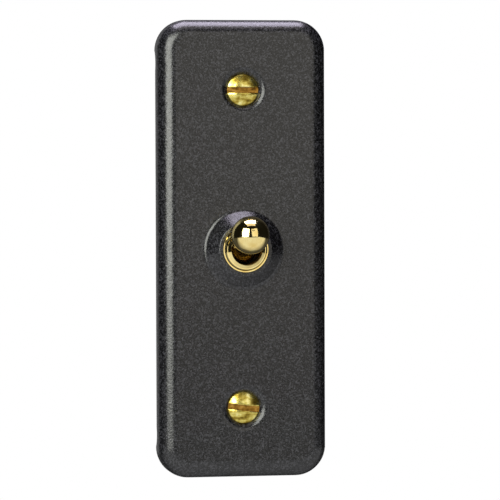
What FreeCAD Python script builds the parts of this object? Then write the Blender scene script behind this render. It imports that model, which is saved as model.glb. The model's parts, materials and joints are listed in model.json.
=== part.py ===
import FreeCAD, Part
import math
import os

# Narrow one-gang toggle switch with its two-way mechanism, in millimetres.
# +Z is up, the front faces -Y and the wall is the plane y = 0, which the four corner
# ears of the plate stand on. The origin is midway between the two fixing screws.

V = FreeCAD.Vector
X_AXIS = V(1, 0, 0)
Y_AXIS = V(0, 1, 0)

# Face plate
plate_width = 32.4
plate_height = 87.0
plate_depth = 5.4
sheet = 1.2
outline_radius = 5.8
edge_radius = 3.3
skirt_setback = 0.9          # straight stretches of the skirt stop short of the wall
ear_height = 8.2             # corner ears, measured from the plate's ends and sides
ear_width = 7.2
scallop_radius = 3.0         # rounded relief between an ear and a straight stretch
scallop_setback = 1.25

# Raised boss round the dolly
boss_height = 2.4
boss_flank = 2.4             # how far the boss widens from its lip to its foot
boss_lip = 0.5               # flat lip left outside the ring
boss_foot_fillet = 1.0
boss_lip_fillet = 0.25

# Fixing screws, M3.5 raised countersunk, in pressed dimples with 45 degree walls
fixing_centres = 60.3
fixing_radius = 1.75
fixing_neck_radius = 1.4     # waist behind the head, where the retainer sits
fixing_head_radius = 3.15
fixing_dome = 0.85
fixing_reach = 20.0          # shank end behind the wall plane
slot_width = 1.05
slot_depth = 0.95
slot_turns = {"top": 0.0, "bottom": -6.5}
head_recess = 0.7            # how deep the head's rim sits in its dimple
dimple_mouth_fillet = 1.4
retainer_wall = 2.2
retainer_thickness = 0.8

# Dress ring and bush
ring_height = 1.2
ring_dome_radius = 1.45
ring_dome_angle = 60.0       # the dome ends here and a straight flank runs to the boss
ring_spigot_wall = 0.6
ring_spigot_length = 2.4
ring_nose = 0.5
bush_wall = 0.75
bush_flange_rim = 1.9
bush_flange = 1.0
bush_mouth_start = 1.2       # the bore flares out behind the pivot for the dolly's tail

# Dolly, drawn straight along its own axis and then tilted
dolly_tilt = 17.8            # each side of straight out
pivot_depth = 1.5            # behind the plate's face
pin_radius = 0.6
stem_radius = 1.1
knob_centre = 9.2            # from the pivot
knob_radius = 3.6
knob_taper = 9.0
knob_shoulder = 0.8
tail_wall = 0.65
plunger_radius = 1.2
plunger_tip_centre = 11.0    # from the pivot
plunger_nose_out = 1.0
plunger_length = 2.9
plunger_bore_start = 3.6
spring_wire = 0.16
spring_turns = 7

# Rocker and contacts
rocker_tilt = 11.0
rocker_width = 6.0
rocker_thickness = 0.9
rocker_end = 1.3             # strip beyond the contacts' centres
saddle_margin = 0.77         # saddle beyond the plunger's furthest place
wing_length = 4.3            # from the saddle's edge to the contact's centre
contact_radius = 1.5
contact_thickness = 0.7
rivet_radius = 0.75
rivet_head_radius = 1.1
rivet_head = 0.3
contact_gap = 0.08           # left between closed contacts
arm_width = 5.0
arm_thickness = 0.8
arm_overlap = 2.0            # arm inboard of its contact's centre
knife_width = 5.2
knife_half_root = 1.1
knife_nose = 0.25
knife_height = 2.5
saddle_base = 1.0
saddle_to_arm = 2.0

# Terminals
block_width = 6.6
block_height = 6.2
block_depth = 7.6
wire_radius = 1.7
wire_floor = 1.3             # metal in front of the wire hole
wire_end = 0.9               # metal left at the wire hole's blind end
wire_entry_radius = 2.2      # half the width of the case's own ways in, for the insulation
terminal_radius = 1.5
terminal_head_radius = 2.1
terminal_head = 1.8
driver_slot = 0.6
earth_block_height = 4.4
earth_block_width = 6.4
earth_block_depth = 9.2
earth_wire_radius = 1.6
earth_wire_floor = 3.8       # lifts the wire hole clear of the skirt
earth_from_housing = 0.5

# Case
housing_width = 19.0
case_end_wall = 1.9
case_back_wall = 3.7         # behind the terminal blocks, round their screw heads
housing_corner = 1.5
cover_thickness = 2.0
liner = 0.4
liner_margin = 0.5           # liner beyond the case, each side
washer = 0.5
washer_rim = 3.1
works_gap = 1.3              # between the rocker and the chamber's sides
works_end_gap = 3.4          # from a contact's centre to the chamber's end
core_wall = 1.3              # wall on each side of the cored-out side pockets
core_from_end = 6.0
core_rib = 1.5               # beside the common wire's way, between the side pockets
access_gap = 0.5             # round a terminal screw's head
case_screw_radius = 1.3
case_screw_head_radius = 2.1
case_screw_head = 1.4
case_screw_inset_x = 2.3
case_screw_inset_z = 2.6
case_screw_bite = 1.4

# Fits
running = 0.05               # radial clearance of what turns or slides
seat = 0.05                  # clearance of what lies in a pocket
loose = 0.1
fixing_clearance = 0.2
hub_clearance = 0.15
stem_clearance = 0.15
knob_clearance = 0.35
mouth_clearance = 0.9

# Radii that follow from the dolly's swing through the ring and the bush
tilt = math.radians(dolly_tilt)
ring_front = pivot_depth + boss_height + ring_height
ring_hole_radius = ring_front * math.tan(tilt) + stem_radius / math.cos(tilt) + stem_clearance
bush_bore_radius = ring_hole_radius - running
hub_radius = bush_bore_radius - hub_clearance
bush_radius = bush_bore_radius + bush_wall
bush_flange_radius = bush_radius + bush_flange_rim
ring_spigot_radius = bush_radius + running + ring_spigot_wall
boss_bore_radius = ring_spigot_radius + loose
washer_radius = bush_radius + washer_rim
tail_radius = plunger_radius + running + tail_wall
tail_length = plunger_tip_centre - plunger_nose_out
knob_back = (ring_front + knob_clearance) * math.cos(tilt) + ring_hole_radius * math.sin(tilt)

# The ring's dome and the straight flank below it
dome_end = math.radians(ring_dome_angle)
dome_start_radius = ring_hole_radius + running
flank_radius = dome_start_radius + ring_dome_radius * math.sin(dome_end)
flank_drop = ring_dome_radius * (1 - math.cos(dome_end))
ring_foot_radius = flank_radius + (ring_height - flank_drop) / math.tan(dome_end)
boss_lip_radius = ring_foot_radius + boss_lip
boss_base_radius = boss_lip_radius + boss_flank

# The fixing screws' seats
fixing_hole_radius = fixing_radius + fixing_clearance
dimple_radius = fixing_head_radius + head_recess
retainer_radius = fixing_neck_radius + running + retainer_wall

# Places along Y that the pieces share
face_y = -plate_depth
back_y = face_y + sheet
lip_y = face_y - boss_height
pivot_y = face_y + pivot_depth
cover_front_y = back_y + liner
cover_back_y = cover_front_y + cover_thickness
flange_back_y = cover_back_y + bush_flange
fixing_z = fixing_centres / 2
head_rim_y = face_y + dimple_radius - fixing_head_radius - running * math.sqrt(2)
neck_y = head_rim_y + fixing_head_radius - fixing_neck_radius
dimple_end_y = face_y + dimple_radius - fixing_hole_radius

# The rocker's saddle is the path that the plunger's tip follows over it, worked out from
# the straight-out and fully tilted places of the dolly with the rocker tipped to match.
knife_offset = plunger_radius + running + rocker_thickness + running
knife_y = pivot_y + plunger_tip_centre + knife_offset
tip = math.radians(rocker_tilt)
end_y = plunger_tip_centre * (math.cos(tilt) - 1) - knife_offset
end_z = -plunger_tip_centre * math.sin(tilt)
path_y = -(end_y * math.cos(tip) + end_z * math.sin(tip))
path_z = end_y * math.sin(tip) - end_z * math.cos(tip)
path_rise = path_y - knife_offset
path_radius = (path_z**2 + path_rise**2) / (2 * path_rise)
saddle_radius = path_radius + plunger_radius + running
saddle_centre_y = -knife_offset - path_radius
saddle_half_width = path_z + saddle_margin
wing_y = saddle_centre_y + math.sqrt(saddle_radius**2 - saddle_half_width**2)
contact_face_y = wing_y + rocker_thickness + contact_thickness
contact_centre = saddle_half_width + wing_length
arm_start = contact_centre - arm_overlap

# The works chamber, the terminal blocks behind it and the case round them
works_half_width = rocker_width / 2 + works_gap
works_half_height = contact_centre + works_end_gap
way_block_front = knife_y + contact_face_y + knife_height
common_block_front = knife_y + knife_height + saddle_base
block_back = way_block_front + block_depth
way_wire_y = way_block_front + wire_floor + wire_radius
common_wire_y = common_block_front + wire_floor / 2 + wire_radius
earth_wire_y = back_y + earth_wire_floor + earth_wire_radius
housing_back = block_back + case_back_wall
housing_height = 2 * (works_half_height + block_height + case_end_wall)
access_radius = terminal_head_radius + access_gap
core_inner = works_half_width + core_wall
core_outer = housing_width / 2 - core_wall
core_half_height = housing_height / 2 - core_from_end
core_rib_half_height = wire_entry_radius + core_rib
case_screw_x = housing_width / 2 - case_screw_inset_x
case_screw_z = housing_height / 2 - case_screw_inset_z
earth_z = -housing_height / 2 - earth_from_housing - earth_block_height / 2


def box(x, y, z):
    """A block between the low and high value given for each axis."""
    return Part.makeBox(x[1] - x[0], y[1] - y[0], z[1] - z[0], V(x[0], y[0], z[0]))


def rod(radius, y0, y1, x=0.0, z=0.0):
    """A cylinder along Y."""
    return Part.makeCylinder(radius, y1 - y0, V(x, y0, z), Y_AXIS)


def cone(r0, r1, y0, y1, z=0.0):
    """A cone along Y."""
    return Part.makeCone(r0, r1, y1 - y0, V(0, y0, z), Y_AXIS)


def outline(place, start, *steps):
    """A face inside lines and arcs; a step is an end point, or an arc's middle and end."""
    edges, here = [], start
    for step in steps + (start,):
        if isinstance(step[0], tuple):
            middle, end = step
            edges.append(Part.Arc(place(here), place(middle), place(end)).toShape())
        else:
            end = step
            edges.append(Part.makeLine(place(here), place(end)))
        here = end
    return Part.Face(Part.Wire(edges))


def turned(start, *steps):
    """A solid of revolution about Y from points (radius, y)."""
    return outline(lambda p: V(p[0], p[1], 0), start, *steps).revolve(V(0, 0, 0), Y_AXIS, 360)


def pressed(width, start, *steps):
    """A strip of the given width along X whose side view has points (y, z)."""
    face = outline(lambda p: V(-width / 2, p[0], p[1]), start, *steps)
    return face.extrude(V(width, 0, 0))


def moved(shape, y=0.0, z=0.0):
    copy = shape.copy()
    copy.translate(V(0, y, z))
    return copy


def tilted(shape, angle, y):
    """The shape turned about the line along X at the given y."""
    copy = shape.copy()
    copy.rotate(V(0, y, 0), X_AXIS, angle)
    return copy


def upside_down(shape):
    return shape.mirror(V(0, 0, 0), V(0, 0, 1))


def rounded(shape, radius, wanted):
    """The shape with a fillet on every edge that the test picks out."""
    return shape.makeFillet(radius, [edge for edge in shape.Edges if wanted(edge)])


def along_y(edge):
    a, b = edge.Vertexes[0].Point, edge.Vertexes[-1].Point
    return abs(a.x - b.x) < 1e-6 and abs(a.z - b.z) < 1e-6 and abs(a.y - b.y) > 1e-6


def circle_at(radius, y):
    """A test for full circles about Y of one radius at one y."""
    def wanted(edge):
        curve = edge.Curve
        return (isinstance(curve, Part.Circle) and abs(curve.Radius - radius) < 1e-6
                and abs(curve.Center.y - y) < 1e-6 and abs(curve.Axis.y) > 0.999)
    return wanted


def tray(width, height, corner, edge, y0, y1):
    """A flat slab with rounded corners and a rounded front edge."""
    slab = box((-width / 2, width / 2), (y0, y1), (-height / 2, height / 2))
    slab = rounded(slab, corner, along_y)
    return rounded(slab, edge, lambda e: all(abs(v.Point.y - y0) < 1e-6 for v in e.Vertexes))


def boss_blank():
    """The pressed cone with its lip, as a full plug."""
    return turned((0, lip_y), (boss_lip_radius, lip_y), (boss_base_radius, face_y),
                  (boss_base_radius, back_y), (0, back_y))


def boss_hollow():
    """The same cone one sheet thickness behind its front."""
    slope = math.atan2(boss_height, boss_base_radius - boss_lip_radius)
    inward = sheet * math.tan(slope / 2)
    hollow_lip = boss_lip_radius - inward
    hollow_base = boss_base_radius - inward
    return turned((0, lip_y + sheet), (hollow_lip, lip_y + sheet), (hollow_base, back_y),
                  (hollow_base, back_y + sheet), (0, back_y + sheet))


def face_plate():
    depth = (face_y, 0)
    plate = tray(plate_width, plate_height, outline_radius, edge_radius, *depth)
    hollow = tray(plate_width - 2 * sheet, plate_height - 2 * sheet, outline_radius - sheet,
                  edge_radius - sheet, back_y, 1)
    plate = plate.cut(hollow)

    plate = plate.fuse(boss_blank())
    plate = rounded(plate, boss_foot_fillet, circle_at(boss_base_radius, face_y))
    plate = rounded(plate, boss_lip_fillet, circle_at(boss_lip_radius, lip_y))
    plate = plate.cut(boss_hollow()).cut(rod(boss_bore_radius, lip_y - 1, 0))

    wall = sheet * math.sqrt(2)
    for z in (fixing_z, -fixing_z):
        dimple = cone(dimple_radius + wall - sheet, fixing_hole_radius + wall,
                      back_y - sheet / 2, dimple_end_y, z)
        plate = plate.fuse(dimple)
        plate = plate.cut(cone(dimple_radius, fixing_hole_radius, face_y, dimple_end_y, z))
        plate = plate.cut(rod(fixing_hole_radius, face_y, dimple_end_y + 1, 0, z))
    plate = rounded(plate, dimple_mouth_fillet, circle_at(dimple_radius, face_y))

    half_width, half_height = plate_width / 2, plate_height / 2
    ear_x, ear_z = half_width - ear_width, half_height - ear_height
    plate = plate.cut(box((-half_width, half_width), (-skirt_setback, 1), (-ear_z, ear_z)))
    plate = plate.cut(box((-ear_x, ear_x), (-skirt_setback, 1), (-half_height, half_height)))
    scallop_y = scallop_radius - scallop_setback
    for side in (-1, 1):
        across = Part.makeCylinder(scallop_radius, plate_width,
                                   V(-half_width, scallop_y, side * ear_z), X_AXIS)
        upright = Part.makeCylinder(scallop_radius, plate_height,
                                    V(side * ear_x, scallop_y, -half_height), V(0, 0, 1))
        plate = plate.cut(across).cut(upright)
    return plate.removeSplitter()


def fixing_screw(turn):
    """Raised countersunk head with a screwdriver slot, a waist, and a plain shank for the thread."""
    dome_y = head_rim_y - fixing_dome
    sphere = (fixing_head_radius**2 + fixing_dome**2) / (2 * fixing_dome)
    half = fixing_head_radius / 2
    mid_y = dome_y + sphere - math.sqrt(sphere**2 - half**2)
    screw = turned((0, dome_y), ((half, mid_y), (fixing_head_radius, head_rim_y)),
                   (fixing_neck_radius, neck_y), (fixing_neck_radius, 0), (fixing_radius, 0),
                   (fixing_radius, fixing_reach - 0.5),
                   (fixing_radius - 0.5, fixing_reach), (0, fixing_reach))
    reach = fixing_head_radius + 1
    slot = box((-reach, reach), (dome_y - 1, dome_y + slot_depth), (-slot_width / 2, slot_width / 2))
    slot.rotate(V(0, 0, 0), Y_AXIS, turn)
    return screw.cut(slot)


def screw_retainer():
    y0 = neck_y + seat
    ring = rod(retainer_radius, y0, y0 + retainer_thickness)
    return ring.cut(rod(fixing_neck_radius + running, y0, y0 + retainer_thickness))


def dress_ring():
    """Domed nut: smooth nose over the boss, threaded spigot inside its bore."""
    top_y = lip_y - ring_height
    crown = (dome_start_radius + ring_dome_radius * math.sin(dome_end / 2),
             top_y + ring_dome_radius * (1 - math.cos(dome_end / 2)))
    spigot_y = lip_y + ring_spigot_length
    thread = bush_radius + running
    return turned((ring_hole_radius, top_y + running), (dome_start_radius, top_y),
                  (crown, (flank_radius, top_y + flank_drop)), (ring_foot_radius, lip_y),
                  (ring_spigot_radius, lip_y), (ring_spigot_radius, spigot_y), (thread, spigot_y),
                  (thread, top_y + ring_nose), (ring_hole_radius, top_y + ring_nose))


def bush():
    """Barrel that carries the pivot pin, with a flange behind the cover."""
    front_y = lip_y - ring_height + ring_nose + seat
    mouth_y = pivot_y + bush_mouth_start
    mouth_radius = ((flange_back_y - pivot_y) * math.tan(tilt) + tail_radius / math.cos(tilt)
                    + mouth_clearance)
    barrel = turned((bush_bore_radius, front_y), (bush_radius, front_y),
                    (bush_radius, cover_back_y), (bush_flange_radius, cover_back_y),
                    (bush_flange_radius, flange_back_y), (mouth_radius, flange_back_y),
                    (bush_bore_radius, mouth_y))
    return barrel.cut(pin_along_x(pin_radius + running, 2 * bush_radius + 1))


def pin_along_x(radius, length):
    return Part.makeCylinder(radius, length, V(-length / 2, pivot_y, 0), X_AXIS)


def dolly():
    """Teardrop knob, slim stem, round hub on the pin and a bored tail."""
    taper = math.radians(knob_taper)
    neck_y = -knob_centre + knob_radius * math.sin(taper)
    neck_r = knob_radius * math.cos(taper)
    shoulder_y = -knob_back - knob_shoulder
    shoulder_r = neck_r - (shoulder_y - neck_y) * math.tan(taper)
    back_r = shoulder_r - knob_shoulder
    bend = knob_shoulder * math.sqrt(0.5)
    tip_y = -knob_centre - knob_radius
    front = math.radians(45)
    on_ball = (knob_radius * math.cos(front), -knob_centre - knob_radius * math.sin(front))
    knob = turned((0, tip_y), (on_ball, (neck_r, neck_y)), (shoulder_r, shoulder_y),
                  ((back_r + bend, shoulder_y + bend), (back_r, -knob_back)),
                  (stem_radius, -knob_back), (stem_radius, 0), (0, 0))
    body = knob.fuse(Part.makeSphere(hub_radius)).fuse(rod(tail_radius, 0, tail_length))
    body = body.cut(rod(plunger_radius + running, plunger_bore_start, tail_length + 1))
    body = moved(body, pivot_y)
    body = body.cut(pin_along_x(pin_radius + running, 2 * hub_radius + 1))
    return tilted(body, -dolly_tilt, pivot_y)


def plunger():
    """Round-nosed pin in the dolly's tail."""
    start = plunger_tip_centre - plunger_length
    pin = rod(plunger_radius, start, plunger_tip_centre)
    nose = Part.makeSphere(plunger_radius, V(0, plunger_tip_centre, 0))
    return tilted(moved(pin.fuse(nose).removeSplitter(), pivot_y), -dolly_tilt, pivot_y)


def plunger_spring():
    """Open coil between the end of the tail's bore and the plunger."""
    coil_radius = plunger_radius - spring_wire - running
    start = plunger_bore_start + spring_wire + seat
    end = plunger_tip_centre - plunger_length - spring_wire - seat
    helix = Part.makeHelix((end - start) / spring_turns, end - start, coil_radius)
    section = Part.Wire(Part.makeCircle(spring_wire, V(coil_radius, 0, 0), Y_AXIS))
    coil = Part.Wire(helix.Edges).makePipeShell([section], True, True)
    coil.rotate(V(0, 0, 0), X_AXIS, -90)
    return tilted(moved(coil, pivot_y + start), -dolly_tilt, pivot_y)


def rocker():
    """Strip with a round saddle, flat wings and a hole for each contact rivet."""
    back = saddle_radius + rocker_thickness
    wing_back = wing_y + rocker_thickness
    back_z = math.sqrt(back**2 - (wing_back - saddle_centre_y)**2)
    half = contact_centre + rocker_end
    strip = pressed(rocker_width, (wing_y, -half), (wing_y, -saddle_half_width),
                    ((saddle_centre_y + saddle_radius, 0), (wing_y, saddle_half_width)),
                    (wing_y, half), (wing_back, half), (wing_back, back_z),
                    ((saddle_centre_y + back, 0), (wing_back, -back_z)), (wing_back, -half))
    for side in (-1, 1):
        strip = strip.cut(rod(rivet_radius + running, wing_y - 1, wing_back + 1, 0,
                              side * contact_centre))
    return tilted(moved(strip, knife_y), rocker_tilt, knife_y)


def rocker_contact(side):
    """Silver rivet: contact button behind the rocker, shank and closed head in front."""
    wing_back = wing_y + rocker_thickness
    z = side * contact_centre
    button = rod(contact_radius, wing_back, contact_face_y, 0, z)
    shank = rod(rivet_radius, wing_y - rivet_head, wing_back, 0, z)
    head = rod(rivet_head_radius, wing_y - rivet_head, wing_y, 0, z)
    rivet = button.fuse(shank).fuse(head).removeSplitter()
    return tilted(moved(rivet, knife_y), rocker_tilt, knife_y)


def fixed_tip():
    """Lower fixed contact, square to the lower rivet when that way is closed."""
    y0 = contact_face_y + contact_gap
    disc = rod(contact_radius, y0, y0 + contact_thickness, 0, -contact_centre)
    return tilted(moved(disc, knife_y), rocker_tilt, knife_y)


def contact_arm():
    """Strip under the lower fixed contact, bent down beside its terminal block."""
    y0 = contact_face_y + contact_gap + contact_thickness
    reach = works_half_height - arm_thickness / 2
    flat = box((-arm_width / 2, arm_width / 2), (y0, y0 + arm_thickness), (-reach, -arm_start))
    flat = tilted(moved(flat, knife_y), rocker_tilt, knife_y)
    top_y = knife_y + y0 + reach * math.tan(tip)
    leg = box((-arm_width / 2, arm_width / 2), (top_y, block_back - terminal_head),
              (-works_half_height, -works_half_height + arm_thickness))
    return flat.fuse(leg).removeSplitter()


def way_block():
    """Lower terminal block, with its wire hole along Z."""
    z1 = -works_half_height
    z0 = z1 - block_height
    block = box((-block_width / 2, block_width / 2), (way_block_front, block_back), (z0, z1))
    wire = Part.makeCylinder(wire_radius, block_height - wire_end, V(0, way_wire_y, z0), V(0, 0, 1))
    screw = rod(terminal_radius, way_wire_y, block_back, 0, z1 - block_height / 2)
    return block.cut(wire).cut(screw)


def common_block():
    """Middle terminal block, with its wire hole along X."""
    half = block_width / 2
    block = box((-half, half), (common_block_front, block_back), (-half, half))
    wire = Part.makeCylinder(wire_radius, block_width, V(-half, common_wire_y, 0), X_AXIS)
    return block.cut(wire).cut(rod(terminal_radius, common_wire_y, block_back))


def common_saddle():
    """Knife edge that the rocker tips on, with its foot on the common block."""
    root_y = knife_height
    foot_z = arm_start - saddle_to_arm
    knife = pressed(knife_width, (knife_nose, -knife_nose), ((0, 0), (knife_nose, knife_nose)),
                    (root_y, knife_half_root), (root_y, foot_z), (root_y + saddle_base, foot_z),
                    (root_y + saddle_base, -foot_z), (root_y, -foot_z), (root_y, -knife_half_root))
    return moved(knife, knife_y)


def terminal_screw(radius, head_radius, head, seat_y, tip_y, z):
    """Slotted terminal screw, driven from behind and backed off clear of the wire hole."""
    shank = rod(radius - running, tip_y + seat, seat_y, 0, z)
    cap = rod(head_radius, seat_y, seat_y + head, 0, z)
    screw = shank.fuse(cap).removeSplitter()
    slot = box((-head_radius, head_radius), (seat_y + head / 2, seat_y + head),
               (z - driver_slot / 2, z + driver_slot / 2))
    return screw.cut(slot)


def way_screw():
    tip_y = way_wire_y + wire_radius
    z = -works_half_height - block_height / 2
    return terminal_screw(terminal_radius, terminal_head_radius, terminal_head, block_back, tip_y, z)


def common_screw():
    tip_y = common_wire_y + wire_radius
    return terminal_screw(terminal_radius, terminal_head_radius, terminal_head, block_back, tip_y, 0)


def earth_block():
    """Terminal block welded to the back of the plate, with its wire hole along X."""
    half = earth_block_width / 2
    end_y = back_y + earth_block_depth
    block = box((-half, half), (back_y, end_y),
                (earth_z - earth_block_height / 2, earth_z + earth_block_height / 2))
    wire = Part.makeCylinder(earth_wire_radius, earth_block_width, V(-half, earth_wire_y, earth_z), X_AXIS)
    return block.cut(wire).cut(rod(terminal_radius, earth_wire_y, end_y, 0, earth_z))


def earth_screw():
    tip_y = earth_wire_y + earth_wire_radius
    end_y = back_y + earth_block_depth
    return terminal_screw(terminal_radius, terminal_head_radius, terminal_head, end_y, tip_y, earth_z)


def lock_washer():
    y0 = cover_front_y
    return rod(washer_radius, y0, y0 + washer).cut(rod(bush_radius + loose, y0, y0 + washer))


def insulating_liner():
    half_width = housing_width / 2 + liner_margin
    half_height = housing_height / 2
    sheet_of_fibre = box((-half_width, half_width), (back_y, cover_front_y), (-half_height, half_height))
    return rounded(sheet_of_fibre, housing_corner, along_y).cut(
        rod(boss_bore_radius, back_y, cover_front_y))


def case_screw_places():
    return {"upper": (-case_screw_x, case_screw_z), "lower": (case_screw_x, -case_screw_z)}


def housing_cover():
    """Front moulding, with a seat for the lock washer and blind holes for the case screws."""
    half_width, half_height = housing_width / 2, housing_height / 2
    cover = box((-half_width, half_width), (cover_front_y, cover_back_y), (-half_height, half_height))
    cover = rounded(cover, housing_corner, along_y)
    cover = cover.cut(rod(bush_radius + loose, cover_front_y, cover_back_y))
    cover = cover.cut(rod(washer_radius + loose, cover_front_y, cover_front_y + washer))
    for x, z in case_screw_places().values():
        cover = cover.cut(rod(case_screw_radius + seat, cover_back_y - case_screw_bite - seat,
                              cover_back_y, x, z))
    return cover


def housing_base():
    """Rear moulding: works chamber, terminal pockets, cored sides, ways in and access holes."""
    half_width, half_height = housing_width / 2, housing_height / 2
    base = box((-half_width, half_width), (cover_back_y, housing_back), (-half_height, half_height))
    base = rounded(base, housing_corner, along_y)
    base = base.cut(rod(bush_flange_radius + loose, cover_back_y, flange_back_y + loose))
    base = base.cut(box((-works_half_width, works_half_width), (cover_back_y, common_block_front),
                        (-works_half_height, works_half_height)))
    block_x = (-block_width / 2 - seat, block_width / 2 + seat)
    pocket_back = block_back + seat
    end_z = works_half_height + block_height + seat
    base = base.cut(box(block_x, (cover_back_y, pocket_back), (-block_x[1], block_x[1])))
    leg_x = (-arm_width / 2 - seat, arm_width / 2 + seat)
    for side in (-1, 1):
        low, high = sorted((side * (works_half_height - seat), side * end_z))
        base = base.cut(box(block_x, (cover_back_y, pocket_back), (low, high)))
        leg_low, leg_high = sorted((side * (works_half_height - arm_thickness - seat),
                                    side * works_half_height))
        base = base.cut(box(leg_x, (cover_back_y, block_back - terminal_head + seat),
                            (leg_low, leg_high)))
        core_x = sorted((side * core_inner, side * core_outer))
        for end in (-1, 1):
            core_z = sorted((end * core_rib_half_height, end * core_half_height))
            base = base.cut(box(core_x, (cover_back_y, pocket_back), core_z))
        screw_z = side * (works_half_height + block_height / 2)
        base = base.cut(rod(access_radius, block_back, housing_back, 0, screw_z))
        base = base.cut(Part.makeCylinder(wire_entry_radius, half_height,
                                          V(0, way_wire_y, side * works_half_height), V(0, 0, side)))
    base = base.cut(rod(access_radius, block_back, housing_back))
    common_way = box((block_x[1] - seat, half_width), (cover_back_y, housing_back),
                     (-wire_entry_radius, wire_entry_radius))
    base = base.cut(common_way)
    for x, z in case_screw_places().values():
        base = base.cut(rod(case_screw_radius + seat, cover_back_y, housing_back, x, z))
        base = base.cut(rod(case_screw_head_radius + loose, housing_back - case_screw_head,
                            housing_back, x, z))
    return base


def housing_screw(x, z):
    y0, y1 = cover_back_y - case_screw_bite, housing_back - case_screw_head
    shank = rod(case_screw_radius, y0, y1, x, z)
    cap = rod(case_screw_head_radius, y1, housing_back - seat, x, z)
    slot = box((x - case_screw_head_radius, x + case_screw_head_radius),
               (housing_back - case_screw_head / 2, housing_back),
               (z - driver_slot / 2, z + driver_slot / 2))
    return shank.fuse(cap).removeSplitter().cut(slot)


def dolly_pin():
    return pin_along_x(pin_radius, 2 * bush_radius - running)


pieces = {
    "face_plate": face_plate(),
    "dress_ring": dress_ring(),
    "bush": bush(),
    "dolly": dolly(),
    "dolly_pin": dolly_pin(),
    "plunger": plunger(),
    "plunger_spring": plunger_spring(),
    "rocker": rocker(),
    "rocker_contact_upper": rocker_contact(1),
    "rocker_contact_lower": rocker_contact(-1),
    "common_saddle": common_saddle(),
    "common_block": common_block(),
    "common_screw": common_screw(),
    "lower_contact_tip": fixed_tip(),
    "lower_contact_arm": contact_arm(),
    "lower_block": way_block(),
    "lower_screw": way_screw(),
    "upper_contact_tip": upside_down(fixed_tip()),
    "upper_contact_arm": upside_down(contact_arm()),
    "upper_block": upside_down(way_block()),
    "upper_screw": upside_down(way_screw()),
    "earth_block": earth_block(),
    "earth_screw": earth_screw(),
    "lock_washer": lock_washer(),
    "insulating_liner": insulating_liner(),
    "housing_cover": housing_cover(),
    "housing_base": housing_base(),
}
for end, (x, z) in case_screw_places().items():
    pieces[f"housing_screw_{end}"] = housing_screw(x, z)
for end, side in (("top", 1), ("bottom", -1)):
    pieces[f"fixing_screw_{end}"] = moved(fixing_screw(slot_turns[end]), z=side * fixing_z)
    pieces[f"screw_retainer_{end}"] = moved(screw_retainer(), z=side * fixing_z)

os.makedirs("parts", exist_ok=True)
for name, shape in pieces.items():
    shape.exportStep(f"parts/{name}.step")
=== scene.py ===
import bmesh
import bpy
import json
import math
from mathutils import Matrix, Vector


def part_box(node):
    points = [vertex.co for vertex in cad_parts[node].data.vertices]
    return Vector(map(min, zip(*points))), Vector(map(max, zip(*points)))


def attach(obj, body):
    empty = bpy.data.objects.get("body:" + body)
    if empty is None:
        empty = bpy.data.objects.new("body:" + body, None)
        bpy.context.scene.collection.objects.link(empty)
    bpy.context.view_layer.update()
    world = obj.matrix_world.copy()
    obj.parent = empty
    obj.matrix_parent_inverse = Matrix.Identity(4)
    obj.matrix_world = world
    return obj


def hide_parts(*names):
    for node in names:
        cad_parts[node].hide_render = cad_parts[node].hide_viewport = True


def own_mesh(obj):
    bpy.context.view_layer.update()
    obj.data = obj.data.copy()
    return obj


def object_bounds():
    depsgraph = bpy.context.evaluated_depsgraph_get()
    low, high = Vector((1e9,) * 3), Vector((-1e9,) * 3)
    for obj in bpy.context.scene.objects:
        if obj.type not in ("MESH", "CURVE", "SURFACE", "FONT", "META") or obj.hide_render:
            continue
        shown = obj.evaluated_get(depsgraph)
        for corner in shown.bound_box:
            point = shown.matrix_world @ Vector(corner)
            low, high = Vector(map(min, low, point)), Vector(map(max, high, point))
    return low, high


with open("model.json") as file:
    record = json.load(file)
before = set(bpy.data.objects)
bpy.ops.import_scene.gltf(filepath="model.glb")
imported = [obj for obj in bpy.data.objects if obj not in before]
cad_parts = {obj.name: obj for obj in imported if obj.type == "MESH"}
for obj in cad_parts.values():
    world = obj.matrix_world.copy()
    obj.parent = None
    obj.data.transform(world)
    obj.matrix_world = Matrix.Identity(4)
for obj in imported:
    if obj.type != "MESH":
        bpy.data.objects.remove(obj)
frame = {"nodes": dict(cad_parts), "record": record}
cadLow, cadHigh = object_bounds()
mm = 0.001
nodes = frame["nodes"]
print("frame loaded with", len(nodes), "CAD nodes")


def linearColour(hexText):
    # a colour written in sRGB hex, as the linear colour that a shader needs
    parts = [int(hexText[i:i + 2], 16) / 255 for i in (0, 2, 4)]
    return tuple(c / 12.92 if c <= 0.04045 else ((c + 0.055) / 1.055) ** 2.4 for c in parts) + (1.0,)


def addNode(tree, kind, settings):
    # a setting is a socket's value, a link from another node's output, a ramp's stops or a property
    node = tree.nodes.new("ShaderNode" + kind)
    for key, value in settings.items():
        socket = node.inputs[key] if isinstance(key, int) else node.inputs.get(key)
        if key == "stops":
            ramp = node.color_ramp.elements
            for index, (place, hexText) in enumerate(value):
                stop = ramp[index] if index < 2 else ramp.new(place)
                stop.position, stop.color = place, linearColour(hexText)
        elif socket is None:
            setattr(node, key, value)
        elif isinstance(value, bpy.types.NodeSocket):
            tree.links.new(value, socket)
        else:
            socket.default_value = value
    return node


def newMaterial(name, surface):
    # an empty material with its shader, and the object's own coordinates in millimetres
    material = bpy.data.materials.new(name)
    material.use_nodes = True
    tree = material.node_tree
    tree.nodes.clear()
    output = addNode(tree, "OutputMaterial", {})
    shader = addNode(tree, "BsdfPrincipled", surface)
    tree.links.new(shader.outputs["BSDF"], output.inputs["Surface"])
    place = addNode(tree, "TexCoord", {})
    inMm = addNode(tree, "Mapping", {"Vector": place.outputs["Object"], "Scale": (1000, 1000, 1000)})
    return material, tree, shader, inMm.outputs["Vector"]


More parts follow.
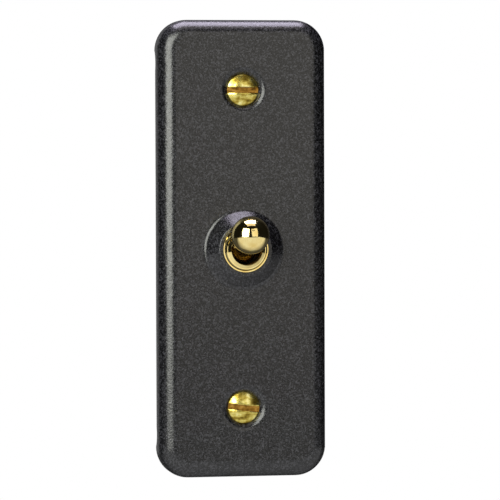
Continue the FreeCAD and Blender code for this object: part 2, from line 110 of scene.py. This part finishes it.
# Polyester powder coat on pressed steel, sprayed and baked. The baked grains give a satin
# skin with a fine orange peel, and the aluminium flake in it shows as a faint sparkle.
# Sizes in mm. Real flake is about 0.05 mm across, and is drawn coarser so that it shows.
powder = {"dark": "030304", "mid": "101012", "flake": "36363a", "flakeSize": 0.25,
          "roughness": (0.17, 0.31), "gritSpan": (0.3, 0.7),
          "gritSize": 0.34, "gritDepth": 0.05, "gritStrength": 0.6,
          "peelSize": 1.1, "peelDepth": 0.02, "peelStrength": 0.5}

powderCoat, tree, shader, inMm = newMaterial("graphite_powder_coat", {"IOR": 1.5})
flakes = addNode(tree, "TexVoronoi", {"Vector": inMm, "Scale": 1 / powder["flakeSize"]})
shade = addNode(tree, "ValToRGB", {"Fac": flakes.outputs["Color"], "stops": [
    (0.1, powder["dark"]), (0.5, powder["mid"]), (0.92, powder["flake"])]})
grit = addNode(tree, "TexNoise", {"Vector": inMm, "Scale": 1 / powder["gritSize"], "Detail": 2.0})
peel = addNode(tree, "TexNoise", {"Vector": inMm, "Scale": 1 / powder["peelSize"], "Detail": 1.0})
satin = addNode(tree, "MapRange", {"Value": grit.outputs["Fac"],
                                   "From Min": powder["gritSpan"][0], "From Max": powder["gritSpan"][1],
                                   "To Min": powder["roughness"][0], "To Max": powder["roughness"][1]})
gritBump = addNode(tree, "Bump", {"Height": grit.outputs["Fac"], "Strength": powder["gritStrength"],
                                  "Distance": powder["gritDepth"] * mm})
peelBump = addNode(tree, "Bump", {"Height": peel.outputs["Fac"], "Strength": powder["peelStrength"],
                                  "Distance": powder["peelDepth"] * mm,
                                  "Normal": gritBump.outputs["Normal"]})
tree.links.new(shade.outputs["Color"], shader.inputs["Base Color"])
tree.links.new(satin.outputs["Result"], shader.inputs["Roughness"])
tree.links.new(peelBump.outputs["Normal"], shader.inputs["Normal"])


noiseSpan = (0.35, 0.65)   # a noise texture's values mostly lie between these


def grainMaterial(name, recipe):
    # a material whose tone, gloss and relief all follow one grain, drawn out along the way it was worked
    material, tree, shader, inMm = newMaterial(name, recipe["surface"])
    drawn = addNode(tree, "Mapping", {"Vector": inMm, "Scale": recipe["drawn"]})
    grain = addNode(tree, "TexNoise", {"Vector": drawn.outputs["Vector"], "Scale": 1 / recipe["grainSize"],
                                       "Detail": 3.0, "Roughness": 0.55})
    cloud = addNode(tree, "TexNoise", {"Vector": inMm, "Scale": 1 / recipe["cloudSize"], "Detail": 3.0})
    both = addNode(tree, "Math", {"operation": "MULTIPLY_ADD", 0: grain.outputs["Fac"],
                                  1: recipe["grainShare"], 2: cloud.outputs["Fac"]})
    low, high = (edge * (1 + recipe["grainShare"]) for edge in noiseSpan)
    spread = addNode(tree, "MapRange", {"Value": both.outputs["Value"], "From Min": low, "From Max": high})
    stops = [(i / (len(recipe["tones"]) - 1), tone) for i, tone in enumerate(recipe["tones"])]
    tone = addNode(tree, "ValToRGB", {"Fac": spread.outputs["Result"], "stops": stops})
    gloss = addNode(tree, "MapRange", {"Value": spread.outputs["Result"], "To Min": recipe["roughness"][0],
                                       "To Max": recipe["roughness"][1]})
    relief = addNode(tree, "Bump", {"Height": grain.outputs["Fac"], "Strength": recipe["bump"],
                                    "Distance": recipe["depth"] * mm})
    tree.links.new(tone.outputs["Color"], shader.inputs["Base Color"])
    tree.links.new(gloss.outputs["Result"], shader.inputs["Roughness"])
    tree.links.new(relief.outputs["Normal"], shader.inputs["Normal"])
    return material


# "drawn" below 1 stretches the grain along that axis. Grain and cloud sizes and depths are in mm.
# Real hair lines and tool lines are finer, and are drawn this coarse so that they show. The tones
# run from the darkest to the lightest, and the roughness goes with them.
recipes = {
    # lacquered brass, buffed: hair lines too fine to count soften the mirror a little and unevenly
    "polished_brass": {
        "name": "polished_lacquered_brass", "surface": {"Metallic": 1.0},
        "drawn": (0.12, 1, 1), "grainSize": 0.08, "cloudSize": 1.6, "grainShare": 0.25,
        "tones": ("dcc278", "e8d28e", "eedd9c"), "roughness": (0.05, 0.12), "bump": 0.06, "depth": 0.004},
    # bare brass screw, turned and handled: lathe rings, small dents and browner worn hollows
    "screw_brass": {
        "name": "handled_brass", "surface": {"Metallic": 1.0},
        "drawn": (0.35, 1, 1), "grainSize": 0.7, "cloudSize": 1.3, "grainShare": 0.7,
        "tones": ("5e4d18", "9d8736", "cfc068", "ece4a2"),
        "roughness": (0.34, 0.20), "bump": 0.45, "depth": 0.10},
    # the same brass in the screwdriver slot: browned, with old polish and dirt packed in, and darker still as
    # painted shade of the slot's recess
    "slot_brass": {
        "name": "browned_slot_brass_with_painted_shade", "surface": {"Metallic": 1.0},
        "drawn": (0.2, 1, 1), "grainSize": 0.4, "cloudSize": 0.9, "grainShare": 0.5,
        "tones": ("553a14", "8f6828", "c09448"), "roughness": (0.50, 0.34), "bump": 0.4, "depth": 0.04},
    # free-cutting brass bar, as turned and sawn: dull straw colour with close tool lines
    "turned_brass": {
        "name": "as_turned_brass", "surface": {"Metallic": 1.0},
        "drawn": (0.08, 1, 0.08), "grainSize": 0.16, "cloudSize": 2.5, "grainShare": 0.6,
        "tones": ("4f4026", "75613b", "978152"), "roughness": (0.34, 0.22), "bump": 0.4, "depth": 0.02},
    # half-hard copper strip, rolled: long faint lines and pink-brown tarnish clouds
    "contact_copper": {
        "name": "rolled_copper_strip", "surface": {"Metallic": 1.0},
        "drawn": (1, 1, 0.06), "grainSize": 0.12, "cloudSize": 3.0, "grainShare": 0.5,
        "tones": ("8f5136", "bb7350", "d08e6a"), "roughness": (0.40, 0.24), "bump": 0.3, "depth": 0.01},
    # silver rivet, cold headed: soft satin, grey where it has tarnished
    "silver": {
        "name": "headed_silver", "surface": {"Metallic": 1.0},
        "drawn": (1, 1, 1), "grainSize": 0.25, "cloudSize": 1.0, "grainShare": 0.5,
        "tones": ("9d9a92", "cfccc4", "e6e4de"), "roughness": (0.38, 0.22), "bump": 0.25, "depth": 0.01},
    # centreless-ground steel pin: bright, with fine rings
    "steel": {
        "name": "ground_steel", "surface": {"Metallic": 1.0},
        "drawn": (1, 0.1, 0.1), "grainSize": 0.06, "cloudSize": 1.5, "grainShare": 0.6,
        "tones": ("8d8d90", "adadb0", "bcbcbe"), "roughness": (0.30, 0.18), "bump": 0.25, "depth": 0.004},
    # drawn spring steel: grey-brown heat colour, lines along the draw
    "spring_steel": {
        "name": "oil_tempered_spring_steel", "surface": {"Metallic": 1.0},
        "drawn": (0.3, 1, 0.3), "grainSize": 0.08, "cloudSize": 1.2, "grainShare": 0.5,
        "tones": ("4b4a49", "6d6b69", "83807c"), "roughness": (0.42, 0.28), "bump": 0.3, "depth": 0.006},
    # zinc-plated steel screw: pale blue-grey with faint spangle and dull patches
    "zinc_steel": {
        "name": "zinc_plated_steel", "surface": {"Metallic": 1.0},
        "drawn": (1, 1, 1), "grainSize": 0.3, "cloudSize": 1.3, "grainShare": 0.7,
        "tones": ("8e9297", "b3b7bb", "cfd1d2"), "roughness": (0.40, 0.22), "bump": 0.25, "depth": 0.012},
    # urea moulding: a hard warm white with slight flow clouds and a finely eroded mould skin
    "moulding": {
        "name": "urea_moulding",
        "surface": {"IOR": 1.55, "Subsurface Weight": 0.08, "Subsurface Scale": 0.001},
        "drawn": (1, 1, 1), "grainSize": 0.35, "cloudSize": 9.0, "grainShare": 0.25,
        "tones": ("d6d1c2", "dedacd", "e5e2d8"), "roughness": (0.42, 0.32), "bump": 0.3, "depth": 0.015},
    # turned acetal: milky, waxy, with close tool rings
    "acetal": {
        "name": "turned_acetal",
        "surface": {"IOR": 1.48, "Subsurface Weight": 0.25, "Subsurface Scale": 0.001},
        "drawn": (0.1, 1, 0.1), "grainSize": 0.12, "cloudSize": 2.0, "grainShare": 0.5,
        "tones": ("d9d6cb", "e3e1d8", "ebe9e2"), "roughness": (0.38, 0.26), "bump": 0.3, "depth": 0.01},
    # moulded nylon: cloudy cream, part see-through, with a soft skin
    "nylon": {
        "name": "moulded_nylon",
        "surface": {"IOR": 1.53, "Subsurface Weight": 0.35, "Subsurface Scale": 0.001},
        "drawn": (1, 1, 1), "grainSize": 0.3, "cloudSize": 2.5, "grainShare": 0.3,
        "tones": ("cdc7b4", "d9d4c4", "e2decf"), "roughness": (0.48, 0.38), "bump": 0.25, "depth": 0.01},
    # vulcanised fibre board, calendered: matted brown-grey fibres lying mostly lengthways
    "fibre": {
        "name": "vulcanised_fibre", "surface": {"IOR": 1.5},
        "drawn": (1, 1, 0.18), "grainSize": 0.14, "cloudSize": 4.0, "grainShare": 0.9,
        "tones": ("2b211b", "3a2d25", "57473a"), "roughness": (0.66, 0.52), "bump": 0.6, "depth": 0.03},
}
paint = {slot: grainMaterial(recipe["name"], recipe) for slot, recipe in recipes.items()}
paint["powder_coat"] = powderCoat
for node in nodes.values():
    for slot in node.material_slots:
        if slot.material and slot.material.name in paint:
            slot.material = paint[slot.material.name]
print("materials assigned to", len(paint), "slots")


meshing = {"weld": 0.0005, "creaseAngle": 35}   # merge distance in mm, and the angle that stays sharp


def finishPiece(name, vertices, faces, node, slotName, body, slotDirtAndShadeFaces=()):
    # one closed mesh with smooth faces and sharp creases, standing for a CAD node on that node's body
    mesh = bpy.data.meshes.new(name)
    mesh.from_pydata(vertices, [], faces)
    mesh.materials.append(paint[slotName])
    # a second, darker brass for the slot's faces: dirt in the slot, and painted shade of its recess
    if slotDirtAndShadeFaces:
        mesh.materials.append(paint["slot_brass"])
    for number in slotDirtAndShadeFaces:
        mesh.polygons[number].material_index = 1
    shell = bmesh.new()
    shell.from_mesh(mesh)
    bmesh.ops.remove_doubles(shell, verts=shell.verts, dist=meshing["weld"] * mm)
    bmesh.ops.recalc_face_normals(shell, faces=shell.faces)
    shell.to_mesh(mesh)
    shell.free()
    mesh.shade_smooth()
    mesh.set_sharp_from_angle(angle=math.radians(meshing["creaseAngle"]))
    piece = bpy.data.objects.new(name, mesh)
    bpy.context.scene.collection.objects.link(piece)
    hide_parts(node)
    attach(piece, body)
    return piece


def bridge(loopA, loopB):
    # faces between two closed loops of vertex numbers
    count = len(loopA)
    return [(loopA[i], loopA[(i + 1) % count], loopB[(i + 1) % count], loopB[i]) for i in range(count)]


# Slotted screws. The head's front is a grid of rows along the slot, and rings carry its outline
# down to the tip. Sizes in mm, depths from the head's front. "facing" is 1 where the head looks
# forward, "wear" is how far the slot's lips and the head's edge are rounded, "rim" how far in the
# head's outer edge falls away, and "neck" the radius below the head as far as "neckEnd".
screwKinds = {
    "fixing": {
        "slot": "screw_brass", "facing": 1, "dome": 0.85, "side": 0.0, "flare": True,
        "slotWidth": 1.05, "slotDepth": 0.95, "wear": 0.10, "rim": 0.26,
        "neck": 1.4, "neckEnd": 5.6, "thread": 1.75, "pitch": 0.6},
    "terminal": {
        "slot": "zinc_steel", "facing": -1, "dome": 0.12, "side": 1.68, "flare": False,
        "slotWidth": 0.6, "slotDepth": 0.9, "wear": 0.04, "rim": 0.1,
        "neck": 1.25, "neckEnd": 2.0, "thread": 1.45, "pitch": 0.5},
    "case": {
        "slot": "zinc_steel", "facing": -1, "dome": 0.12, "side": 1.23, "flare": False,
        "slotWidth": 0.6, "slotDepth": 0.65, "wear": 0.04, "rim": 0.1,
        "neck": 1.05, "neckEnd": 16.0, "thread": 1.3, "pitch": 0.9},
}
screwNodes = {"fixing_screw_top": ("fixing", 0.0), "fixing_screw_bottom": ("fixing", -6.5),
              "upper_screw": ("terminal", 24.0), "lower_screw": ("terminal", -51.0),
              "common_screw": ("terminal", 12.0), "earth_screw": ("terminal", 67.0),
              "housing_screw_upper": ("case", 35.0), "housing_screw_lower": ("case", -18.0)}
# Rows run from "outerRow" degrees off the head's middle to the slot. "lipStep" and "rimFall" are
# shares of the wear and of the rim, "floorInset" a share of the slot's width. In the thread, the
# gain, flat and start are shares of its height, "runOut" is in pitches and "tipChamfer" in mm.
screwCut = {"rows": 12, "columns": 25, "ringsPerPitch": 6, "outerRow": 80,
            "lipStep": 0.3, "floorInset": 0.8, "rimFall": 0.4,
            "flankGain": 1.25, "rootFlat": 0.1, "startHeight": 0.1,
            "runOut": 0.8, "tipChamfer": (0.02, 0.3)}


def slottedScrew(node, kind, turn):
    low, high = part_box(node)
    centreX, centreZ = (low.x + high.x) / 2, (low.z + high.z) / 2
    headRadius, length = (high.x - low.x) / 2 / mm, (high.y - low.y) / mm
    front = low.y if kind["facing"] > 0 else high.y
    swing = Matrix.Rotation(math.radians(turn), 2)
    dome, shoulder = kind["dome"], kind["dome"] + kind["side"]
    sphere = (headRadius ** 2 + dome ** 2) / (2 * dome)
    half, wear, columns = kind["slotWidth"] / 2, kind["wear"], screwCut["columns"]
    vertices, faces = [], []

    def put(x, z, depth):
        x, z = swing @ Vector((x, z))
        vertices.append((centreX + x * mm, front + kind["facing"] * depth * mm, centreZ + z * mm))
        return len(vertices) - 1

    def crown(x, z):
        radius = min(math.hypot(x, z), headRadius)
        edge = max(0.0, radius - (headRadius - kind["rim"])) / kind["rim"]
        return sphere - math.sqrt(sphere ** 2 - radius ** 2) + kind["rim"] * screwCut["rimFall"] * edge ** 2

    # rows from one side of the head to the other: place across the slot, extra depth, on the slot's floor
    outerAngle, lipAngle = math.radians(screwCut["outerRow"]), math.asin((half + wear) / headRadius)
    shares = [i / screwCut["rows"] for i in range(screwCut["rows"] + 1)]
    sideRows = [(math.sin(outerAngle + (lipAngle - outerAngle) * share) * headRadius, 0.0, False)
                for share in shares]
    lip = wear * screwCut["lipStep"]
    sideRows += [(half + lip, lip, False), (half, wear, False), (half, 0.0, True),
                 (half * screwCut["floorInset"], 0.0, True)]
    rows = [(-place, extra, floor) for place, extra, floor in sideRows] + sideRows[::-1]
    floorRadius = headRadius - max(0.0, kind["slotDepth"] - shoulder) if kind["flare"] else headRadius
    grid = []
    for index, (place, extra, floor) in enumerate(rows):
        row = []
        reach = math.sqrt((floorRadius if floor else headRadius) ** 2 - place ** 2)
        for column in range(columns):
            x = -reach * math.cos(math.pi * column / (columns - 1))
            z = place
            if index in (0, len(rows) - 1):
                z = math.copysign(math.sqrt(headRadius ** 2 - x ** 2), place)
            row.append(put(x, z, kind["slotDepth"] if floor else crown(x, z) + extra))
        grid.append(row)
    slotDirtAndShadeFaces = []
    for (rowA, rowB), (_, _, floorA), (_, _, floorB) in zip(zip(grid, grid[1:]), rows, rows[1:]):
        # the slot's walls and floor take the darker brass: dirt in the slot, and painted shade of its recess
        if kind["slot"] == "screw_brass" and (floorA or floorB):
            slotDirtAndShadeFaces += range(len(faces), len(faces) + columns - 1)
        faces += [(rowA[i], rowA[i + 1], rowB[i + 1], rowB[i]) for i in range(columns - 1)]

    # the grid's outline, and each of its points' angle round the screw
    loop = grid[0] + [row[-1] for row in grid[1:-1]] + grid[-1][::-1] + [row[0] for row in grid[-2:0:-1]]
    inverse = swing.inverted()
    around = []
    for number in loop:
        x, z = inverse @ Vector((vertices[number][0] - centreX, vertices[number][2] - centreZ))
        around.append(math.atan2(z, x))

    def ring(radius, depth):
        radii = [radius(angle) if callable(radius) else radius for angle in around]
        return [put(r * math.cos(angle), r * math.sin(angle), depth) for r, angle in zip(radii, around)]

    rings = []
    if kind["flare"]:
        rings.append((kind["neck"], shoulder + headRadius - kind["neck"]))
    else:
        rings += [(headRadius, shoulder - wear), (headRadius - wear, shoulder), (kind["neck"], shoulder)]
    rings.append((kind["neck"], kind["neckEnd"] - kind["pitch"] / 2))
    tip = length - kind["pitch"] * screwCut["runOut"]
    depth = kind["neckEnd"]
    while depth < tip:
        grow = min(1.0, (depth - kind["neckEnd"]) / kind["pitch"] + screwCut["startHeight"])

        def flank(angle, depth=depth, grow=grow):
            wave = abs((depth / kind["pitch"] + angle / math.tau) % 1 - 0.5) * 2
            height = min(1.0, max(0.0, wave * screwCut["flankGain"] - screwCut["rootFlat"]))
            return kind["neck"] + (kind["thread"] - kind["neck"]) * grow * height
        rings.append((flank, depth))
        depth += kind["pitch"] / screwCut["ringsPerPitch"]
    small, large = screwCut["tipChamfer"]
    rings += [(kind["neck"] - small, tip + small), (kind["neck"] - large, length)]
    previous = loop
    for radius, depth in rings:
        current = ring(radius, depth)
        faces += bridge(previous, current)
        previous = current
    end = put(0, 0, length)
    faces += [(previous[i], previous[(i + 1) % len(previous)], end) for i in range(len(previous))]
    return vertices, faces, slotDirtAndShadeFaces


for node, (kindName, turn) in screwNodes.items():
    kind = screwKinds[kindName]
    vertices, faces, slotDirtAndShadeFaces = slottedScrew(node, kind, turn)
    finishPiece(node + "_cut", vertices, faces, node, kind["slot"], "switch_body", slotDirtAndShadeFaces)
print("screws made:", len(screwNodes))


# Dress ring: a turned cone over the boss with a sloping foot, and a threaded spigot inside the
# boss. Sizes in mm. "inset" is how far the foot stays inside the CAD ring's edge. Cone steps are
# shares of the cone, and flank steps are shares across and down from the cone to the foot.
ringShape = {"height": 1.2, "faceAngle": 41.0, "crownFlat": 0.06, "inset": 0.42, "flankWidth": 0.32,
             "coneSteps": (0.03, 0.5, 0.97, 1.0),
             "flankSteps": ((0.12, 0.10), (0.5, 0.48), (0.9, 0.93), (1.0, 1.0)),
             "broken": 0.10, "nose": 0.5, "bushWall": 0.75, "pinShort": 0.025, "gap": 0.05,
             "spigotWall": 0.6, "spigotRelief": 0.2, "threadPitch": 0.5, "threadDepth": 0.12, "steps": 160}


def turnedPiece(name, profile, node, slotName, body, steps):
    # a closed profile of (radius, y) in metres carried round the Y axis
    count = len(profile)
    vertices, faces = [], []
    for step in range(steps):
        angle = math.tau * step / steps
        vertices += [(r * math.cos(angle), y, r * math.sin(angle)) for r, y in profile]
    for step in range(steps):
        here, there = step * count, (step + 1) % steps * count
        faces += [(here + i, here + (i + 1) % count, there + (i + 1) % count, there + i)
                  for i in range(count)]
    return finishPiece(name, vertices, faces, node, slotName, body)


low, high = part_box("dress_ring")
# the cross pin ends "pinShort" inside the bush's surface
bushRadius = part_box("dolly_pin")[1].x + ringShape["pinShort"] * mm
gap, broken = ringShape["gap"] * mm, ringShape["broken"] * mm
holeRadius, inside = bushRadius - ringShape["bushWall"] * mm + gap, bushRadius + gap
innerTop = holeRadius + ringShape["crownFlat"] * mm
topY, footY, noseY = low.y, low.y + ringShape["height"] * mm, low.y + ringShape["nose"] * mm
footRadius = high.x - ringShape["inset"] * mm
edgeRadius = footRadius - ringShape["flankWidth"] * mm
coneDrop = (edgeRadius - innerTop) * math.tan(math.radians(ringShape["faceAngle"]))
flankDrop = footY - topY - coneDrop
profile = [(holeRadius, noseY), (holeRadius, topY + broken * 0.5), (innerTop, topY)]
profile += [(innerTop + (edgeRadius - innerTop) * part, topY + coneDrop * part)
            for part in ringShape["coneSteps"]]
profile += [(edgeRadius + (footRadius - edgeRadius) * across, topY + coneDrop + flankDrop * down)
            for across, down in ringShape["flankSteps"]]
spigotRadius = inside + ringShape["spigotWall"] * mm
profile.append((spigotRadius, footY))
level, pitch = footY + ringShape["spigotRelief"] * mm, ringShape["threadPitch"] * mm
while level + pitch < high.y:
    profile += [(spigotRadius, level), (spigotRadius - ringShape["threadDepth"] * mm, level + pitch / 2)]
    level += pitch
profile += [(spigotRadius, level), (spigotRadius - broken, high.y), (inside, high.y), (inside, noseY)]
turnedPiece("dress_ring_turned", profile, "dress_ring", "polished_brass", "switch_body", ringShape["steps"])
print("dress ring made")

# Plunger spring: an open coil in the dolly's tail. Its start and end are
# distances from the pivot along the dolly's own axis. Sizes in mm.
springShape = {"start": 3.81, "end": 7.89, "coilRadius": 0.99, "wireRadius": 0.16, "turns": 7,
               "stepsPerTurn": 40, "wireSides": 10, "shortened": 0.79}
joints = {joint["name"]: joint for joint in frame["record"]["behaviour"]["joints"]}
pivot = Vector(joints["dolly_tilt"]["pos_m"])
inward = -Vector(joints["plunger_slide"]["axis"]).normalized()
sideA = Vector((1, 0, 0))
sideB = inward.cross(sideA)
vertices, faces = [], []
steps, sides = springShape["turns"] * springShape["stepsPerTurn"], springShape["wireSides"]
for step in range(steps + 1):
    angle = math.tau * step / springShape["stepsPerTurn"]
    along = springShape["start"] + (springShape["end"] - springShape["start"]) * step / steps
    outward = sideA * math.cos(angle) + sideB * math.sin(angle)
    middle = pivot + (inward * along + outward * springShape["coilRadius"]) * mm
    for side in range(sides):
        turn = math.tau * side / sides
        spoke = outward * math.cos(turn) + inward * math.sin(turn)
        vertices.append(middle + spoke * springShape["wireRadius"] * mm)
for step in range(steps):
    faces += bridge(list(range(step * sides, (step + 1) * sides)),
                    list(range((step + 1) * sides, (step + 2) * sides)))
faces += [tuple(range(sides)), tuple(range(steps * sides, (steps + 1) * sides))]
spring = finishPiece("plunger_spring_coil", vertices, faces, "plunger_spring", "spring_steel", "dolly")
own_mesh(spring)
print("spring made")

# Moulded and machined edges are never knife sharp: a fine bevel catches the light on each. Its
# width is in mm, and only edges sharper than "fromAngle" get one.
bevels = {"housing_base": 0.18, "housing_cover": 0.18, "face_plate": 0.08, "upper_block": 0.15,
          "lower_block": 0.15, "common_block": 0.15, "earth_block": 0.2, "insulating_liner": 0.05,
          "lock_washer": 0.06, "screw_retainer_top": 0.12, "screw_retainer_bottom": 0.12}
bevelCut = {"segments": 2, "fromAngle": 50}
for name, width in bevels.items():
    bevel = nodes[name].modifiers.new("edge", "BEVEL")
    bevel.width, bevel.segments, bevel.limit_method = width * mm, bevelCut["segments"], "ANGLE"
    bevel.angle_limit, bevel.harden_normals = math.radians(bevelCut["fromAngle"]), True
print("edges broken on", len(bevels), "nodes")


# Stage: a floor that glows pale below the object, soft boxes round it and a white surround. Floor sizes are
# in metres. What the floor's glow gives mirrors fades from "fadeStart" to "fadeEnd", in mm behind the wall
# plane.
stage = {"floorDrop": 0.12, "floorSize": 1.7, "seen": 1.0, "nearGlow": 0.95, "farGlow": 0.08,
         "fadeStart": -60, "fadeEnd": 100, "dim": 0.01}
# Azimuth and elevation are seen from the object. Distances, widths and heights are in metres.
softBoxes = {
    "leftBox": {
        "azimuth": -40, "elevation": 18, "distance": 0.6, "size": (0.43, 0.54),
        "radiance": 8.5, "colour": "fdfff6"},
    "rightBox": {
        "azimuth": 18, "elevation": 18, "distance": 0.6, "size": (0.40, 0.54),
        "radiance": 1.25, "colour": "fffaf0"},
    "topBox": {
        "azimuth": 0, "elevation": 99, "distance": 0.55, "size": (0.45, 0.36),
        "radiance": 9.5, "colour": "f1e9ff"},
    "topFill": {
        "azimuth": 0, "elevation": 72, "distance": 0.6, "size": (0.45, 0.22),
        "radiance": 1.2, "colour": "fff2ee"},
    "leftRear": {
        "azimuth": -152, "elevation": 5, "distance": 0.7, "size": (0.55, 0.7),
        "radiance": 0.32, "colour": "ffffff"},
    "topRear": {
        "azimuth": 180, "elevation": 45, "distance": 0.7, "size": (0.6, 0.35),
        "radiance": 0.5, "colour": "f6f1ff"},
}

# Glowing floor with no colour of its own: its emission is seen plain white, while the glow that the object
# mirrors fades towards the wall side
glowingFloor = {"Base Color": (0, 0, 0, 1), "Roughness": 1.0, "Specular IOR Level": 0.0,
         "Emission Color": (1, 1, 1, 1)}
floorMaterial, tree, shader, inMm = newMaterial("glowing_white_floor", glowingFloor)
along = addNode(tree, "SeparateXYZ", {"Vector": inMm})
fade = addNode(tree, "MapRange", {"Value": along.outputs["Y"], "From Min": stage["fadeStart"],
                                  "From Max": stage["fadeEnd"], "To Min": stage["nearGlow"],
                                  "To Max": stage["farGlow"]})
ray = addNode(tree, "LightPath", {})
plain = addNode(tree, "Mix", {"Factor": ray.outputs["Is Camera Ray"], 2: fade.outputs["Result"],
                              3: stage["seen"]})
tree.links.new(plain.outputs[0], shader.inputs["Emission Strength"])

half, level = stage["floorSize"] / 2, cadLow.z - stage["floorDrop"]
floorMesh = bpy.data.meshes.new("floor")
corners = [(-half, -half, level), (half, -half, level), (half, half, level), (-half, half, level)]
floorMesh.from_pydata(corners, [], [(0, 1, 2, 3)])
floor = bpy.data.objects.new("floor", floorMesh)
floor.data.materials.append(floorMaterial)
bpy.context.scene.collection.objects.link(floor)

centre = Vector((0, cadLow.y, 0))
for name, box in softBoxes.items():
    lamp = bpy.data.lights.new(name, "AREA")
    lamp.shape, (lamp.size, lamp.size_y) = "RECTANGLE", box["size"]
    lamp.energy = box["radiance"] * math.pi * lamp.size * lamp.size_y
    lamp.color = linearColour(box["colour"])[:3]
    holder = bpy.data.objects.new(name, lamp)
    a, e = math.radians(box["azimuth"]), math.radians(box["elevation"])
    away = Vector((math.sin(a) * math.cos(e), -math.cos(a) * math.cos(e), math.sin(e)))
    holder.location = centre + away * box["distance"]
    holder.rotation_mode = "QUATERNION"
    holder.rotation_quaternion = away.to_track_quat("Z", "Y")
    holder.visible_camera = False
    bpy.context.scene.collection.objects.link(holder)

world = bpy.data.worlds.new("white_surround")
bpy.context.scene.world = world
world.use_nodes = True
tree = world.node_tree
tree.nodes.clear()
around = addNode(tree, "Background", {"Color": (1, 1, 1, 1), "Strength": stage["dim"]})
seen = addNode(tree, "Background", {"Color": (1, 1, 1, 1), "Strength": stage["seen"]})
ray = addNode(tree, "LightPath", {})
choose = addNode(tree, "MixShader", {"Fac": ray.outputs["Is Camera Ray"], 1: around.outputs["Background"],
                                     2: seen.outputs["Background"]})
addNode(tree, "OutputWorld", {"Surface": choose.outputs["Shader"]})
bpy.context.scene.view_settings.view_transform = "Standard"
print("stage and lights set")


# Camera: a long lens from slightly left of and above the plate's face
view = {"azimuth": -10.0, "elevation": 1.8, "roll": -0.19, "distance": 0.60, "lens": 227.8368, "sensor": 36,
        "aside": 1.17, "above": -0.16, "faceToCase": 1.6}   # the last three in mm
face = Vector((0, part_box("housing_cover")[0].y - view["faceToCase"] * mm, 0))   # middle of the plate's face
a, e = math.radians(view["azimuth"]), math.radians(view["elevation"])
away = Vector((math.sin(a) * math.cos(e), -math.cos(a) * math.cos(e), math.sin(e)))
turn = away.to_track_quat("Z", "Y")
across, upward = turn @ Vector((1, 0, 0)), turn @ Vector((0, 1, 0))
camera = bpy.data.objects.new("camera", bpy.data.cameras.new("camera"))
camera.data.sensor_width, camera.data.lens = view["sensor"], view["lens"]
camera.rotation_mode = "QUATERNION"
camera.rotation_quaternion = turn @ Matrix.Rotation(math.radians(view["roll"]), 4, "Z").to_quaternion()
camera.location = face + away * view["distance"] + (across * view["aside"] + upward * view["above"]) * mm
camera.data.clip_start, camera.data.clip_end = 0.01, 30
bpy.context.scene.collection.objects.link(camera)
bpy.context.scene.camera = camera
